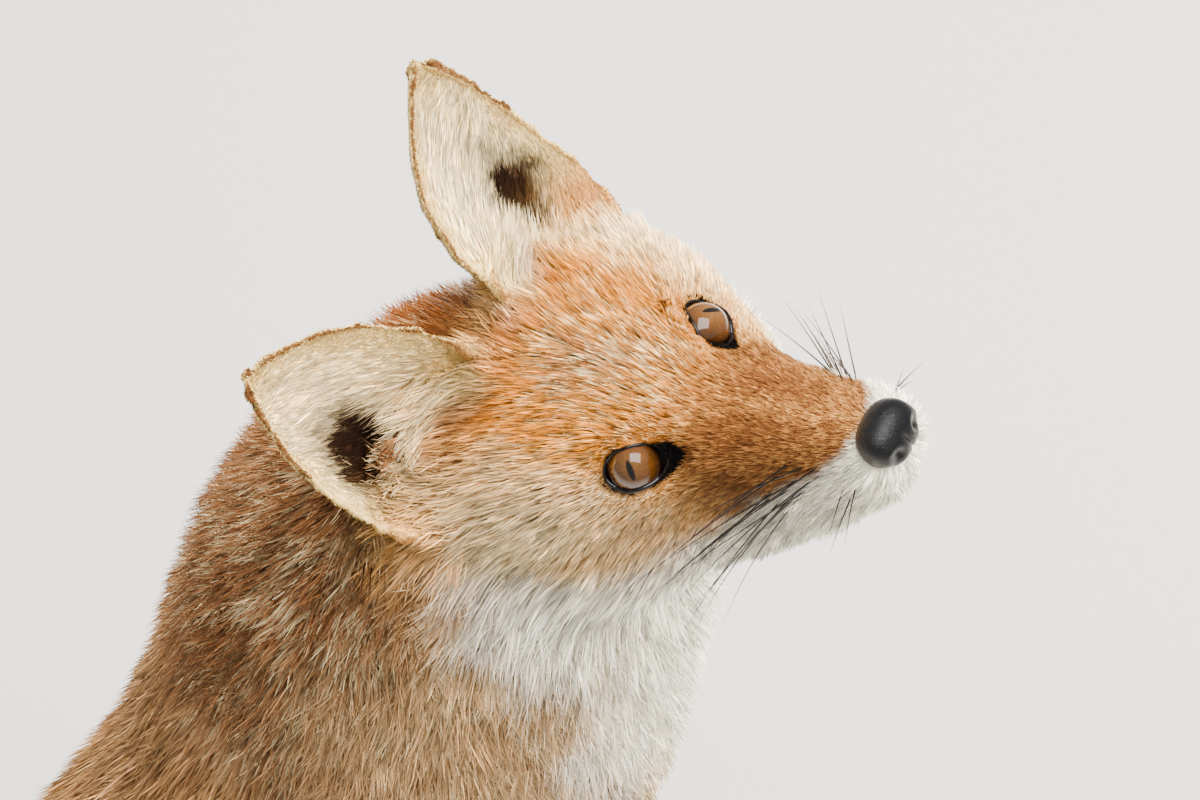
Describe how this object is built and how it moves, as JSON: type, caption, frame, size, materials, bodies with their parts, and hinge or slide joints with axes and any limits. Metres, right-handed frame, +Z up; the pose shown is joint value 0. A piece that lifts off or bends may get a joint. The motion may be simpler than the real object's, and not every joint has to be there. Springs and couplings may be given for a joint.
{
  "type": "red fox, life-size still model",
  "caption": "Life-size red fox sitting upright, head raised and turned to its right, tail laid round its right side, resting on rump, feet and tail.",
  "frame": {"origin": "on the floor under the middle of the whole animal's box", "axes": "+Z up; the body faces -Y; +X is the fox's left side"},
  "size_m": [0.3388, 0.5078, 0.5657],
  "materials": {
    "red_coat": "long orange-brown fur with pale tips",
    "white_coat": "white fur",
    "black_coat": "short brown-black fur",
    "ear_coat": "short cream fur inside, black outside",
    "nose_leather": "moist black skin",
    "eye": "polished amber eye",
    "claw_horn": "dark horn"
  },
  "bodies": {
    "root": {"head": "red_coat", "muzzle": "red_coat", "lower_jaw": "white_coat", "nose": "nose_leather", "eye_left": "eye", "eye_right": "eye", "ear_left": "ear_coat", "ear_right": "ear_coat", "neck": "red_coat", "chest": "red_coat", "loin": "red_coat", "rump": "red_coat", "upper_arm_left": "red_coat", "forearm_left": "black_coat", "fore_paw_left": "black_coat", "thigh_left": "red_coat", "shank_left": "red_coat", "hind_paw_left": "black_coat", "claw_fore_left_1": "claw_horn", "claw_fore_left_2": "claw_horn", "claw_fore_left_3": "claw_horn", "claw_fore_left_4": "claw_horn", "claw_hind_left_1": "claw_horn", "claw_hind_left_2": "claw_horn", "claw_hind_left_3": "claw_horn", "claw_hind_left_4": "claw_horn", "upper_arm_right": "red_coat", "forearm_right": "black_coat", "fore_paw_right": "black_coat", "thigh_right": "red_coat", "shank_right": "red_coat", "hind_paw_right": "black_coat", "claw_fore_right_1": "claw_horn", "claw_fore_right_2": "claw_horn", "claw_fore_right_3": "claw_horn", "claw_fore_right_4": "claw_horn", "claw_hind_right_1": "claw_horn", "claw_hind_right_2": "claw_horn", "claw_hind_right_3": "claw_horn", "claw_hind_right_4": "claw_horn", "tail_1": "red_coat", "tail_2": "red_coat", "tail_3": "red_coat", "tail_4": "red_coat", "tail_5": "white_coat"}
  },
  "joints": []
}
